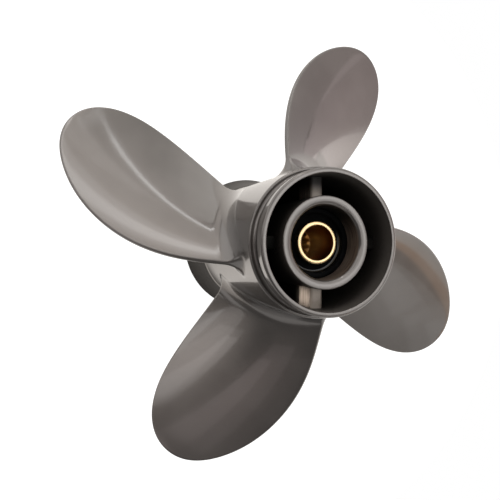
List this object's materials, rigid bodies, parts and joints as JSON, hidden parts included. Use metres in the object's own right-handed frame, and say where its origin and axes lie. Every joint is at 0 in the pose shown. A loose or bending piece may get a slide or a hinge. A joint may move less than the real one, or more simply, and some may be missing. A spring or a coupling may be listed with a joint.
{
  "type": "outboard motor propeller",
  "caption": "Right-hand outboard propeller with broad blades on a through-exhaust hub, a flared rear ring, a rubber bush and a splined brass sleeve",
  "frame": {"origin": "on the shaft axis, in the plane of the front flange's end face, which the part stands on", "axes": "+Z along the shaft towards the rear, where the exhaust leaves; +X and +Y across the shaft, with a rib of the hub along each"},
  "size_m": [0.2132, 0.2132, 0.11],
  "materials": {
    "paint": "glossy warm-grey metallic paint on cast aluminium",
    "rubber": "smooth moulded black rubber",
    "brass": "machined brass"
  },
  "bodies": {
    "root": {"front_flange": "paint", "hub_barrel": "paint", "exhaust_ring": "paint", "inner_tube": "paint", "rib_1": "paint", "rib_2": "paint", "rib_3": "paint", "rib_4": "paint", "blade_1": "paint", "blade_2": "paint", "blade_3": "paint", "blade_4": "paint", "rubber_bush": "rubber", "spline_sleeve": "brass"}
  },
  "joints": []
}
